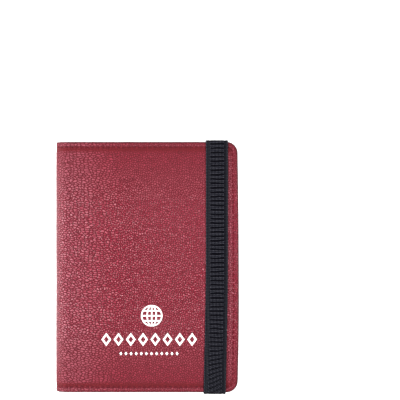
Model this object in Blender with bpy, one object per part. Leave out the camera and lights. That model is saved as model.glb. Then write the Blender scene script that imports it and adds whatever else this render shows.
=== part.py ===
"""A passport holder wallet, closed and lying on its back cover. Metres, +Z up.

+X runs from the spine to the fore edge and +Y up the height of the cover. The origin is the middle of the back
cover's outer face. Each cover is a stack of layers, and a layer's place in it is its depth under the outer face.
The stack curls round the spine as an arc, which is split at 45 and 135 degrees into back, spine and front, so
that the wallet opens flat about two axes just outside the leather. The front is the back's mirror image.
"""

from math import cos, pi, radians, sin

import bmesh
import bpy
from mathutils import Matrix, Vector

MM = 0.001

# The closed wallet.
WIDTH = 104 * MM
HEIGHT = 142 * MM
THICKNESS = 14 * MM
CORNER_RADIUS = 6.3 * MM
EDGE_ROUNDING = 0.5 * MM

# Depths under the outer face of a cover, from the leather in to the pockets.
LEATHER = 0.8 * MM
FOAM = (0.9 * MM, 1.4 * MM)
BOARD = (1.5 * MM, 2.1 * MM)
LINING = (2.2 * MM, 2.5 * MM)
SPINE_LINING = (1.5 * MM, 1.8 * MM)
SLEEVE = (2.6 * MM, 3.6 * MM, 4.1 * MM)
BOARDING_POCKET = (2.6 * MM, 3.0 * MM, 3.4 * MM)
CARD_POCKET_THICKNESS = 0.35 * MM
CARD_POCKET_STEP = 0.45 * MM
FIRST_CARD_POCKET = 3.5 * MM

# Insets from the top, bottom and fore edges.
TURNED_EDGE = 0.8 * MM
LINING_INSET = 0.9 * MM
POCKET_INSET = 1.0 * MM
SEAM_INSET = 3.0 * MM
CORE_INSET = 4.2 * MM

# Sewing.
SEAM_GROOVE_RADIUS = 0.5 * MM
THREAD_RADIUS = 0.15 * MM
THREAD_DEPTH = 0.2 * MM

# The pockets' free edges.
BOARD_START_X = -43.0 * MM
SLEEVE_START_X = -30.0 * MM
BOARDING_START_X = -38.0 * MM
CARD_START_X = -37.0 * MM
CARD_POCKET_TOPS = (8.0 * MM, -5.0 * MM, -18.0 * MM)

# The elastic band.
BAND_WIDTH = 12.1 * MM
BAND_THICKNESS = 0.8 * MM
BAND_CENTRE_X = 39.8 * MM
BAND_CLEARANCE = 0.1 * MM
BAND_EDGE_CLEARANCE = 0.2 * MM
BAND_BEND_RADIUS = 1.6 * MM
BAND_RUN_END_Y = 60.0 * MM
BAND_LEG_SPLIT_Z = 12.5 * MM
BAND_TAB_LENGTH = 3.6 * MM
BAND_TAB_CLEARANCE = 0.15 * MM
SEWN_GAP_CLEARANCE = 0.3 * MM

# The folds.
SPLIT_ANGLE = radians(45)
SPLIT_GAP_ANGLE = radians(1.2)
JOINT_GAP = 0.2 * MM

HALF_WIDTH, HALF_HEIGHT = WIDTH / 2, HEIGHT / 2
SPINE_RADIUS = THICKNESS / 2
SPINE_X = SPINE_RADIUS - HALF_WIDTH
BACK_ARC = SPLIT_ANGLE - SPLIT_GAP_ANGLE
HINGE_X = SPINE_X - SPLIT_ANGLE * SPINE_RADIUS
HINGE_Z = (1 - SPLIT_ANGLE) * SPINE_RADIUS
BAND_TOP = THICKNESS + BAND_CLEARANCE + BAND_THICKNESS
BAND_OUTER_Y = HALF_HEIGHT + BAND_EDGE_CLEARANCE + BAND_THICKNESS
BAND_TAB_Z = LINING[1] + BAND_TAB_CLEARANCE

ARC_STEPS = 8
CORNER_STEPS = 6
OVERRUN = 5 * MM  # how far a cutter runs past what it cuts
FLAT_WITHIN = 0.01 * MM
ARC_OVERRUN = radians(4)


def clear_scene():
    for thing in list(bpy.data.objects):
        bpy.data.objects.remove(thing, do_unlink=True)


def new_collection(name):
    group = bpy.data.collections.new(name)
    bpy.context.scene.collection.children.link(group)
    return group


def new_material(name, color, roughness, metallic=0.0):
    made = bpy.data.materials.new(name)
    made.use_nodes = True
    shader = made.node_tree.nodes["Principled BSDF"]
    shader.inputs["Base Color"].default_value = (*color, 1)
    shader.inputs["Roughness"].default_value = roughness
    shader.inputs["Metallic"].default_value = metallic
    made.diffuse_color = (*color, 1)
    return made


clear_scene()
PARTS = new_collection("passport_wallet")
CUTTERS = new_collection("cutters")
CUTTERS.hide_render = True

RED_LEATHER = new_material("red_leather", (0.29, 0.06, 0.08), 0.5)
RED_LINING = new_material("red_lining", (0.2, 0.04, 0.055), 0.8)
RED_THREAD = new_material("red_thread", (0.3, 0.03, 0.05), 0.6)
GREY_FOAM = new_material("grey_foam", (0.5, 0.5, 0.48), 0.95)
GREY_BOARD = new_material("grey_board", (0.42, 0.38, 0.32), 0.9)
BLACK_ELASTIC = new_material("black_elastic", (0.018, 0.018, 0.023), 0.75)


# ---- shapes ----


def solid_from_curve(name, curve, placed, group, material=None):
    """A closed mesh object made from a curve, which is removed."""
    drawn = bpy.data.objects.new(name + "_curve", curve)
    bpy.context.scene.collection.objects.link(drawn)
    drawn.matrix_world = placed
    bpy.context.view_layer.update()
    mesh = bpy.data.meshes.new_from_object(drawn.evaluated_get(bpy.context.evaluated_depsgraph_get()))
    shape = bmesh.new()
    shape.from_mesh(mesh)
    bmesh.ops.remove_doubles(shape, verts=shape.verts, dist=1e-6)
    bmesh.ops.recalc_face_normals(shape, faces=shape.faces)
    shape.to_mesh(mesh)
    shape.free()
    mesh.name = name
    mesh.materials.clear()
    solid = bpy.data.objects.new(name, mesh)
    solid.matrix_world = placed
    group.objects.link(solid)
    if material:
        mesh.materials.append(material)
    bpy.data.objects.remove(drawn)
    return solid


# How an outline's own x, y and z lie when it is extruded along each axis.
EXTRUDED_ALONG = {
    "X": Matrix(((0, 0, 1, 0), (1, 0, 0, 0), (0, 1, 0, 0), (0, 0, 0, 1))),
    "Y": Matrix(((1, 0, 0, 0), (0, 0, -1, 0), (0, 1, 0, 0), (0, 0, 0, 1))),
    "Z": Matrix.Identity(4),
}


def prism(name, outline, axis, low, high, group=CUTTERS, material=None):
    """A flat outline extruded along an axis from low to high. The outline is (x, y) along Z, (x, z) along Y and
    (y, z) along X."""
    curve = bpy.data.curves.new(name, "CURVE")
    curve.dimensions = "2D"
    curve.fill_mode = "BOTH"
    curve.extrude = (high - low) / 2
    spline = curve.splines.new("POLY")
    spline.points.add(len(outline) - 1)
    for point, (across, up) in zip(spline.points, outline):
        point.co = (across, up, 0, 1)
    spline.use_cyclic_u = True
    along = Vector([axis == letter for letter in "XYZ"])
    placed = Matrix.Translation(along * (low + high) / 2) @ EXTRUDED_ALONG[axis]
    return solid_from_curve(name, curve, placed, group, material)


def tube(name, route, radius, group=CUTTERS, material=None):
    """A round tube with closed ends along a route of points."""
    curve = bpy.data.curves.new(name, "CURVE")
    curve.dimensions = "3D"
    curve.bevel_depth = radius
    curve.bevel_resolution = 2
    curve.use_fill_caps = True
    spline = curve.splines.new("POLY")
    spline.points.add(len(route) - 1)
    for point, place in zip(spline.points, route):
        point.co = (*place, 1)
    return solid_from_curve(name, curve, Matrix.Identity(4), group, material)


def combine(target, operation, *others):
    """Applies a Boolean with each of the others, which stay as hidden cutters."""
    for other in others:
        other.hide_render = True
        other.display_type = "WIRE"
        step = target.modifiers.new(other.name, "BOOLEAN")
        step.operation = operation
        step.solver = "EXACT"
        step.object = other
    bpy.context.view_layer.update()
    mesh = bpy.data.meshes.new_from_object(
        target.evaluated_get(bpy.context.evaluated_depsgraph_get())
    )
    target.modifiers.clear()
    target.data = mesh
    return target


def as_part(solid, name, material):
    """Moves a solid from the cutters to the parts, under its node name."""
    CUTTERS.objects.unlink(solid)
    PARTS.objects.link(solid)
    solid.name = name
    solid.data.materials.clear()
    solid.data.materials.append(material)
    solid.data.shade_smooth()
    solid.data.set_sharp_from_angle(angle=radians(30))
    return solid


def mirrored(solid, name):
    """The front's copy of a piece of the back, mirrored in the plane halfway through the wallet."""
    mesh = solid.data.copy()
    flip = Matrix.Translation((0, 0, THICKNESS)) @ Matrix.Scale(-1, 4, (0, 0, 1))
    mesh.transform(flip @ solid.matrix_world)
    mesh.flip_normals()
    copy = bpy.data.objects.new(name, mesh)
    PARTS.objects.link(copy)
    return copy


# ---- outlines ----


def arc(centre, radius, first, last, steps):
    """Points on an arc, from one angle to another, both included."""
    angles = [first + (last - first) * i / steps for i in range(steps + 1)]
    return [(centre[0] + radius * cos(a), centre[1] + radius * sin(a)) for a in angles]


def cover_plan(inset, start_x=-HALF_WIDTH - OVERRUN, top=None):
    """The cover seen from above: square towards the spine and round at the fore corners. It may stop at a top
    edge lower down, as a card pocket does."""
    right, edge = HALF_WIDTH - inset, HALF_HEIGHT - inset
    radius = CORNER_RADIUS - inset
    points = [(start_x, -edge)]
    points += arc((right - radius, radius - edge), radius, -pi / 2, 0, CORNER_STEPS)
    if top is None:
        points += arc((right - radius, edge - radius), radius, 0, pi / 2, CORNER_STEPS)
    else:
        points.append((right, top))
    points.append((start_x, edge if top is None else top))
    return points


def back_profile(near, far, arc_angle):
    """A layer of the back cut across: flat from past the fore edge to the spine, then up round the arc."""
    right = HALF_WIDTH + OVERRUN
    centre = (SPINE_X, SPINE_RADIUS)
    down = -pi / 2
    outer = arc(centre, SPINE_RADIUS - near, down, down - arc_angle, ARC_STEPS)
    inner = arc(centre, SPINE_RADIUS - far, down - arc_angle, down, ARC_STEPS)
    return [(right, near), *outer, *inner, (right, far)]


def spine_profile(near, far, overrun=0.0):
    """A layer of the spine cut across: the middle half of the arc."""
    centre = (SPINE_X, SPINE_RADIUS)
    first = -pi / 2 - SPLIT_ANGLE - SPLIT_GAP_ANGLE + overrun
    last = -3 * pi / 2 + SPLIT_ANGLE + SPLIT_GAP_ANGLE - overrun
    outer = arc(centre, SPINE_RADIUS - near, first, last, 2 * ARC_STEPS)
    inner = arc(centre, SPINE_RADIUS - far, last, first, 2 * ARC_STEPS)
    return outer + inner


def seam_route(depth):
    """The seam's line on the back, at a depth under the leather's face: down from the end of the arc, along the
    top, fore and bottom edges, and up the arc again."""
    edge, right = HALF_HEIGHT - SEAM_INSET, HALF_WIDTH - SEAM_INSET
    radius = CORNER_RADIUS - SEAM_INSET
    climb = arc((SPINE_X, SPINE_RADIUS), SPINE_RADIUS - depth, -pi / 2 - BACK_ARC, -pi / 2, ARC_STEPS)
    down = [(x, edge, z) for x, z in climb]
    corner = arc((right - radius, edge - radius), radius, pi / 2, 0, CORNER_STEPS)
    top_half = down + [(x, y, depth) for x, y in corner]
    return top_half + [(x, -y, z) for x, y, z in reversed(top_half)]


def spine_seam_route(depth, side, overrun=0.0):
    """The seam's line across the spine, at the top (side 1) or the bottom (side -1)."""
    reach = SPLIT_ANGLE + SPLIT_GAP_ANGLE - overrun
    climb = arc((SPINE_X, SPINE_RADIUS), SPINE_RADIUS - depth, -pi / 2 - reach, reach - 3 * pi / 2, 2 * ARC_STEPS)
    return [(x, side * (HALF_HEIGHT - SEAM_INSET), z) for x, z in climb]


# ---- layers ----


def back_layer(name, near, far, inset, arc_angle=BACK_ARC, start_x=-HALF_WIDTH - OVERRUN):
    """A layer of the back between two depths, trimmed to the cover's plan."""
    edge = HALF_HEIGHT + OVERRUN
    layer = prism(name, back_profile(near, far, arc_angle), "Y", -edge, edge)
    plan = prism(name + "_plan", cover_plan(inset, start_x), "Z", -OVERRUN, THICKNESS)
    return combine(layer, "INTERSECT", plan)


def round_outer_edges(solid):
    """Rounds the leather's outer edge along the top, bottom and fore sides."""
    shape = bmesh.new()
    shape.from_mesh(solid.data)
    place = solid.matrix_world
    picked = []
    for edge in shape.edges:
        first, second = (place @ v.co for v in edge.verts)
        middle = (first + second) / 2
        on_rim = abs(middle.y) > HALF_HEIGHT - CORNER_RADIUS or middle.x > HALF_WIDTH - CORNER_RADIUS
        if on_rim and edge.calc_face_angle(0) > radians(60) and max(first.z, second.z) < FLAT_WITHIN:
            picked.append(edge)
    bmesh.ops.bevel(shape, geom=picked, offset=EDGE_ROUNDING, segments=2, profile=0.5, affect="EDGES")
    shape.to_mesh(solid.data)
    shape.free()


def back_cover_leather():
    """The outer leather of the back: its face, its edges turned up round the layers, and the pressed seam."""
    leather = back_layer("back_cover_leather_blank", 0, LINING[1], 0)
    round_outer_edges(leather)
    arc_angle = BACK_ARC + ARC_OVERRUN
    inside = back_layer("back_cover_inside", LEATHER, SLEEVE[1], TURNED_EDGE, arc_angle)
    groove = tube("back_seam_groove", seam_route(0), SEAM_GROOVE_RADIUS)
    combine(leather, "DIFFERENCE", inside, groove)
    return as_part(leather, "back_cover_leather", RED_LEATHER)


def spine_leather():
    """The outer leather of the spine, with its edges turned in and the seam pressed across it twice."""
    leather = prism("spine_leather_blank", spine_profile(0, SPINE_LINING[1]), "Y", -HALF_HEIGHT, HALF_HEIGHT)
    edge = HALF_HEIGHT - TURNED_EDGE
    inside = prism("spine_inside", spine_profile(LEATHER, LINING[1], ARC_OVERRUN), "Y", -edge, edge)
    grooves = [
        tube(f"spine_groove_{place}", spine_seam_route(0, side, ARC_OVERRUN), SEAM_GROOVE_RADIUS)
        for place, side in (("top", 1), ("bottom", -1))
    ]
    combine(leather, "DIFFERENCE", inside, *grooves)
    return as_part(leather, "spine_leather", RED_LEATHER)


def back_stack():
    """The pieces that the back and the front have in common."""
    foam = back_layer("back_foam_blank", *FOAM, CORE_INSET)
    board = back_layer("back_board_blank", *BOARD, CORE_INSET, start_x=BOARD_START_X)
    lining = back_layer("back_lining_blank", *LINING, LINING_INSET)
    thread = tube("back_seam_thread", seam_route(THREAD_DEPTH), THREAD_RADIUS)
    return [
        back_cover_leather(),
        as_part(foam, "back_foam_pad", GREY_FOAM),
        as_part(board, "back_stiffener_board", GREY_BOARD),
        as_part(lining, "back_lining", RED_LINING),
        as_part(thread, "back_seam_thread", RED_THREAD),
    ]


def spine_stack():
    edge = HALF_HEIGHT - CORE_INSET
    foam = prism("spine_foam_blank", spine_profile(*FOAM), "Y", -edge, edge)
    edge = HALF_HEIGHT - LINING_INSET
    lining = prism("spine_lining_blank", spine_profile(*SPINE_LINING), "Y", -edge, edge)
    pieces = [
        spine_leather(),
        as_part(foam, "spine_foam_pad", GREY_FOAM),
        as_part(lining, "spine_lining", RED_LINING),
    ]
    for place, side in (("top", 1), ("bottom", -1)):
        name = f"spine_seam_thread_{place}"
        thread = tube(name, spine_seam_route(THREAD_DEPTH, side), THREAD_RADIUS)
        pieces.append(as_part(thread, name, RED_THREAD))
    return pieces


def sewn_pocket(name, depths, start_x):
    """A panel sewn down along the top, fore and bottom edges, open towards the spine."""
    outer_face, slot_top, panel_top = depths
    pocket = prism(name + "_blank", cover_plan(POCKET_INSET, start_x), "Z", outer_face, panel_top)
    slot_plan = cover_plan(SEAM_INSET + POCKET_INSET, start_x - OVERRUN)
    slot = prism(name + "_slot", slot_plan, "Z", outer_face - OVERRUN, slot_top)
    return combine(pocket, "DIFFERENCE", slot)


def passport_sleeve():
    """The sleeve that a passport's cover slides into, with two gaps in its sewn edge for the elastic's ends."""
    sleeve = sewn_pocket("passport_sleeve", SLEEVE, SLEEVE_START_X)
    half = BAND_WIDTH / 2 + SEWN_GAP_CLEARANCE
    left, right = BAND_CENTRE_X - half, BAND_CENTRE_X + half
    low, high = SLEEVE[0] - OVERRUN, SLEEVE[1]
    gap = [(left, low), (right, low), (right, high), (left, high)]
    near, far = HALF_HEIGHT - SEAM_INSET - POCKET_INSET - SEWN_GAP_CLEARANCE, HALF_HEIGHT
    gaps = [prism("gap_top", gap, "Y", near, far), prism("gap_bottom", gap, "Y", -far, -near)]
    combine(sleeve, "DIFFERENCE", *gaps)
    return as_part(sleeve, "passport_sleeve", RED_LINING)


def front_pockets():
    """The boarding pass pocket, and three card pockets stepping down over it."""
    pocket = sewn_pocket("boarding_pass_pocket", BOARDING_POCKET, BOARDING_START_X)
    boarding = mirrored(pocket, "boarding_pass_pocket")
    boarding.data.materials.clear()
    boarding.data.materials.append(RED_LINING)
    pockets = [boarding]
    for i, top in enumerate(CARD_POCKET_TOPS):
        high = THICKNESS - FIRST_CARD_POCKET - i * CARD_POCKET_STEP
        plan = cover_plan(POCKET_INSET, CARD_START_X, top=top)
        name = f"card_pocket_{i + 1}"
        pockets.append(prism(name, plan, "Z", high - CARD_POCKET_THICKNESS, high, PARTS, RED_LEATHER))
    return pockets


# ---- the elastic band ----


def band_strip(name, outline):
    low, high = BAND_CENTRE_X - BAND_WIDTH / 2, BAND_CENTRE_X + BAND_WIDTH / 2
    return prism(name, outline, "X", low, high, PARTS, BLACK_ELASTIC)


def elastic_run():
    end, top = BAND_RUN_END_Y - JOINT_GAP / 2, BAND_TOP
    low = top - BAND_THICKNESS
    return band_strip("elastic_run", [(-end, low), (end, low), (end, top), (-end, top)])


def elastic_corner(name, side):
    """The bend over the front cover's edge, from the straight run to the leg."""
    bend = (BAND_OUTER_Y - BAND_BEND_RADIUS, BAND_TOP - BAND_BEND_RADIUS)
    outer = arc(bend, BAND_BEND_RADIUS, pi / 2, 0, CORNER_STEPS)
    inner = arc(bend, BAND_BEND_RADIUS - BAND_THICKNESS, 0, pi / 2, CORNER_STEPS)
    start, low = BAND_RUN_END_Y + JOINT_GAP / 2, BAND_LEG_SPLIT_Z + JOINT_GAP / 2
    outline = [(start, BAND_TOP), *outer, (BAND_OUTER_Y, low), (BAND_OUTER_Y - BAND_THICKNESS, low), *inner]
    outline.append((start, BAND_TOP - BAND_THICKNESS))
    return band_strip(name, [(side * y, z) for y, z in outline])


def elastic_end(name, side):
    """The leg down the wallet's side, and the end sewn into the back cover's seam under the sleeve."""
    inner_y, high = BAND_OUTER_Y - BAND_THICKNESS, BAND_LEG_SPLIT_Z - JOINT_GAP / 2
    tab_end = HALF_HEIGHT - BAND_TAB_LENGTH
    tab_top = BAND_TAB_Z + BAND_THICKNESS
    outline = [
        (tab_end, BAND_TAB_Z),
        (BAND_OUTER_Y, BAND_TAB_Z),
        (BAND_OUTER_Y, high),
        (inner_y, high),
        (inner_y, tab_top),
        (tab_end, tab_top),
    ]
    return band_strip(name, [(side * y, z) for y, z in outline])


# ---- the assembly ----


def axis_empty(name, place, parent=None):
    """An empty on a joint's axis, which the pieces of the moving body hang from."""
    empty = bpy.data.objects.new(name, None)
    empty.empty_display_size = 5 * MM
    PARTS.objects.link(empty)
    empty.location = place
    if parent:
        bpy.context.view_layer.update()
        empty.parent = parent
        empty.matrix_parent_inverse = parent.matrix_world.inverted()
    return empty


def hang(pieces, empty):
    bpy.context.view_layer.update()
    for piece in pieces:
        piece.parent = empty
        piece.matrix_parent_inverse = empty.matrix_world.inverted()


def front_stack(back_pieces):
    names = {piece: piece.name.replace("back_", "front_", 1) for piece in back_pieces}
    return [mirrored(piece, name) for piece, name in names.items()]


def build():
    back_pieces = back_stack()
    front_pieces = front_stack(back_pieces) + front_pockets()
    passport_sleeve()
    elastic_end("elastic_end_top", 1)
    elastic_end("elastic_end_bottom", -1)
    spine_axis = axis_empty("spine_fold_axis", (HINGE_X, 0, HINGE_Z))
    front_axis = axis_empty("front_fold_axis", (HINGE_X, 0, THICKNESS - HINGE_Z), spine_axis)
    hang(spine_stack(), spine_axis)
    hang(front_pieces, front_axis)
    drop_axis = axis_empty("band_drop_axis", (BAND_CENTRE_X, 0, BAND_TOP))
    pull_axis = axis_empty("band_pull_axis", (BAND_CENTRE_X, 0, BAND_TOP), drop_axis)
    hang([elastic_corner("elastic_corner_top", 1), elastic_corner("elastic_corner_bottom", -1)], drop_axis)
    hang([elastic_run()], pull_axis)


build()
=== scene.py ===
"""The passport holder wallet's looks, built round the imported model. Metres, +Z up.

The closed wallet lies on its back cover, with its spine at -X and its fore edge at +X. Every sheet is drawn
in the cover's own coordinates: s runs along the cover from the middle of the spine, round the spine's arc
and on to the fore edge, y runs up its height, and depth is how far a point lies under the cover's outer
face. side is 1 for the front cover and -1 for the back, its mirror image. inset is the distance in from the
nearest sewn edge.
"""

from math import pi, radians

import bpy
import numpy as np
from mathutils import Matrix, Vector, noise


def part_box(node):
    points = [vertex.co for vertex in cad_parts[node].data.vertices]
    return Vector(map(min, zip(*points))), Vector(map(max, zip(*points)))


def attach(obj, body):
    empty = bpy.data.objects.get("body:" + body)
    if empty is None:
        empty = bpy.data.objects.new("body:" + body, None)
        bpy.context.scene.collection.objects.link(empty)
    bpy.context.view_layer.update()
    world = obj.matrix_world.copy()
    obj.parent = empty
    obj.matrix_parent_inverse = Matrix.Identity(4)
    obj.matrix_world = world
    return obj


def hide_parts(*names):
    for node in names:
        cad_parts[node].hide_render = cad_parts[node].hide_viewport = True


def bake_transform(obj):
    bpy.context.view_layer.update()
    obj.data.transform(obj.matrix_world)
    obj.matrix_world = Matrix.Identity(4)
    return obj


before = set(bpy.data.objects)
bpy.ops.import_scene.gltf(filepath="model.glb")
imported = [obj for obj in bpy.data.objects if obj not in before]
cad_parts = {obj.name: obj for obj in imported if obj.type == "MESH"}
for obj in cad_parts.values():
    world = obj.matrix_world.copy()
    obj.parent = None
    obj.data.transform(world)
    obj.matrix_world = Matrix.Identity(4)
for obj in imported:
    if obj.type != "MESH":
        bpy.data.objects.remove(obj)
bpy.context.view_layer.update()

MM = 0.001

# ---- places and sizes from the frame ----

HALF_WIDTH, HALF_HEIGHT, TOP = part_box("front_cover_leather")[1]
RADIUS = TOP / 2
SPINE_X = RADIUS - HALF_WIDTH
ARC_LENGTH = RADIUS * pi / 2
FORE_S = ARC_LENGTH + HALF_WIDTH - SPINE_X

BAND_LOW, BAND_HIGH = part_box("elastic_run")
BAND_END_LOW, BAND_END_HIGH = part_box("elastic_end_top")

# ---- sizes that only the looks need ----

# The covers' outline: round fore corners, and a fore edge that bows in from a point below the middle.
CORNER_RADIUS = 6.3 * MM
CENTRE_S = FORE_S - CORNER_RADIUS
CENTRE_Y = HALF_HEIGHT - CORNER_RADIUS
BOW_CENTRE_Y = -19 * MM
BOW = 0.85 * MM

# The outer face, from its edge in: a rounded edge, a lip, the seam's pressed groove, and a crowned panel.
EDGE_RADIUS = 0.95 * MM
LIP_DEPTH = 0.12 * MM
LIP_SLOPE = 0.42 * MM
SEAM_INSET = 3.0 * MM
GROOVE_DEPTH = 0.65 * MM
FORE_GROOVE_DEPTH = 0.42 * MM
GROOVE_CHANGE = 6.0 * MM
PANEL_SLOPE = 3.4 * MM
PANEL_CURVE = 1.8
CROWN = 0.28 * MM
CROWN_REACH = 12.0 * MM
PRESSED_AT_SPINE = 0.35
ROUNDED_AT_SPINE = 0.4
WAVE_HEIGHT = 0.1 * MM
RIPPLE_HEIGHT = 0.035 * MM
WAVE_FADE = 5.0 * MM

# The leather's turned-in hem.
HEM_DEPTH = 2.3 * MM
HEM_TURN = 0.45 * MM
HEM_START = 1.2 * MM
HEM_WIDTH = 4.0 * MM
LEATHER_THICKNESS = 0.4 * MM

# The linings, which lie less deep round the spine.
LINING_INSET = 0.9 * MM
LINING_RIM = 0.1 * MM
LINING_DEPTH = 2.55 * MM
LINING_SPINE_DEPTH = 1.8 * MM
LINING_SPINE_END = 7.0 * MM
LINING_SLOPE = 9.0 * MM
LINING_THICKNESS = 0.2 * MM

# The pockets and the sleeve.
POCKET_INSET = 1.0 * MM
POCKET_RIM = 0.25 * MM
POCKET_THICKNESS = 0.33 * MM

# The seam's lengths from the middle of the spine to the end of its corner and to the middle of the fore
# edge, and whole stitches along the second. A stitch stops short of its needle holes and dips towards them.
FORE_SEAM_START = CENTRE_S + (CORNER_RADIUS - SEAM_INSET) * pi / 2
SEAM_HALF = FORE_SEAM_START + CENTRE_Y
STITCH_PITCH = SEAM_HALF / round(SEAM_HALF / (2.95 * MM))
STITCH_GAP = 0.4 * MM
STITCH_DIP = 0.25 * MM
STITCH_LIFT = 0.1 * MM
THREAD_RADIUS = 0.22 * MM
TWIST_PITCH = 0.35 * MM

# The elastic: ribs across its middle, a pressed line beside them, and a selvedge.
RIB_PITCH = 2.5 * MM
RIB_HEIGHT = 0.24 * MM
RIB_HALF_WIDTH = 4.0 * MM
RIB_SHIFT = 0.3 * MM
BORDER_OFFSET = 0.25 * MM
BORDER_DEPTH = 0.18 * MM
SELVEDGE_OFFSET = 5.15 * MM
CORD_PITCH = 0.8 * MM
LOOP_PITCH = 0.83 * MM


# ---- node materials ----

# Leather grain. Lengths are in pebbles, and heights are shares of a pebble's.
DRAWN_REACH = 38
DRAWN_BY = 10.0
GRAIN_SQUEEZE = 0.92
GRAIN_SLANT = 0.22
GRAIN_DRIFT = 1.2
PEBBLE_FLANK = 0.36
PEBBLE_CURVE = 1.8
LOWEST_PEBBLE = 0.75
GRIT_SCALE = 1.75
GRIT_FLANK = 0.3
GRIT_HEIGHT = 0.12
FINE_HEIGHT = 0.25
FOLD_HEIGHT = 0.15

# The roughness of creases, of pressed leather, and of leather at the top and bottom edges.
DULL = 0.95


class Shader:
    """A material's node tree, with short calls for the nodes that it needs."""

    def __init__(self, name):
        self.material = bpy.data.materials.new(name)
        self.material.use_nodes = True
        self.tree = self.material.node_tree
        self.principled = self.tree.nodes["Principled BSDF"]

    def add(self, kind, inputs=None, **settings):
        made = self.tree.nodes.new("ShaderNode" + kind)
        for key, value in settings.items():
            setattr(made, key, value)
        for key, value in (inputs or {}).items():
            self.plug(made.inputs[key], value)
        return made

    def plug(self, socket, value):
        if isinstance(value, bpy.types.NodeSocket):
            self.tree.links.new(value, socket)
        else:
            socket.default_value = value

    def set(self, **inputs):
        for key, value in inputs.items():
            self.plug(self.principled.inputs[key.replace("_", " ")], value)

    def math(self, operation, first, second=0.0):
        return self.add("Math", {0: first, 1: second}, operation=operation).outputs[0]

    def plus(self, first, second):
        return self.math("ADD", first, second)

    def minus(self, first, second):
        return self.math("SUBTRACT", first, second)

    def times(self, first, second):
        return self.math("MULTIPLY", first, second)

    def larger(self, first, second):
        return self.math("MAXIMUM", first, second)

    def ridges(self, value, pitch):
        """From 0 to 1 and back in every pitch, starting at 0."""
        return self.math("ABSOLUTE", self.math("SINE", self.times(value, pi / pitch)))

    def uv(self, layer, scale):
        """One of the sheet's layers of coordinates, in metres, times a scale."""
        place = self.add("UVMap", uv_map=layer).outputs["UV"]
        return self.add("VectorMath", {0: place, "Scale": scale}, operation="SCALE").outputs[0]

    def split(self, vector):
        parts = self.add("SeparateXYZ", {0: vector})
        return parts.outputs[0], parts.outputs[1]

    def noise(self, vector, scale, detail=2.0, roughness=0.5):
        inputs = {"Vector": vector, "Scale": scale, "Detail": detail, "Roughness": roughness}
        return self.add("TexNoise", inputs).outputs["Fac"]

    def ramp(self, value, low, high, to_low=0.0, to_high=1.0, smooth=True):
        inputs = {"Value": value, "From Min": low, "From Max": high, "To Min": to_low, "To Max": to_high}
        kind = "SMOOTHSTEP" if smooth else "LINEAR"
        return self.add("MapRange", inputs, interpolation_type=kind).outputs["Result"]

    def peak(self, value, centre, width):
        """1 at the centre, falling to 0 a width away from it."""
        away = self.math("ABSOLUTE", self.minus(value, centre))
        return self.ramp(away, 0, width, 1.0, 0.0)

    def pebbles(self, cells, flank_width):
        """Cells with rounded tops, parted by sharp creases."""
        voronoi = self.add("TexVoronoi", cells, feature="DISTANCE_TO_EDGE", voronoi_dimensions="2D")
        flank = self.ramp(voronoi.outputs["Distance"], 0.0, flank_width, 1.0, 0.0, smooth=False)
        return self.minus(1.0, self.math("POWER", flank, PEBBLE_CURVE))

    def blend(self, share, first, second, most=1.0):
        """The first colour, turning into the second by the share, up to the most that it may."""
        if most < 1:
            share = self.times(share, most)
        inputs = {"Factor": share, 6: first, 7: second}
        return self.add("Mix", inputs, data_type="RGBA").outputs[2]

    def bump(self, height, distance):
        return self.add("Bump", {"Height": height, "Distance": distance, "Strength": 1.0}).outputs["Normal"]


def rgb(red, green, blue):
    return (red, green, blue, 1.0)


# The outer leather's painted shade, painted sheen and painted highlights.
GROOVE_SHADE_RED = rgb(0.12, 0.0005, 0.005)
EDGE_AND_DIMPLE_SHADE_RED = rgb(0.06, 0.001, 0.004)
END_SHADE_RED = rgb(0.1, 0.0, 0.004)
SPINE_SHEEN_PINK = rgb(0.3, 0.1, 0.13)
SEAM_HIGHLIGHT_PINK = rgb(0.36, 0.085, 0.115)


def pebble_places(s, cloth, drawn_by):
    """Where the pebbles' pattern is read: the cloth's coordinates, slanted, drifting to and fro, and drawn
    out near the spine by some number of pebbles."""
    across, along = s.split(cloth)
    near_spine = s.ramp(across, 0, DRAWN_REACH, 0.0, drawn_by)
    squeezed = s.minus(s.times(across, GRAIN_SQUEEZE), near_spine)
    slanted = s.plus(along, s.times(squeezed, GRAIN_SLANT))
    drawn = s.add("CombineXYZ", {0: squeezed, 1: slanted}).outputs[0]
    drift = s.add("TexNoise", {"Vector": cloth, "Scale": 0.3, "Detail": 2.0}).outputs["Color"]
    drift = s.add("VectorMath", {0: drift, 1: (0.5, 0.5, 0.5)}, operation="SUBTRACT").outputs[0]
    drift = s.add("VectorMath", {0: drift, "Scale": GRAIN_DRIFT}, operation="SCALE").outputs[0]
    return s.add("VectorMath", {0: drawn, 1: drift}, operation="ADD").outputs[0]


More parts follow.
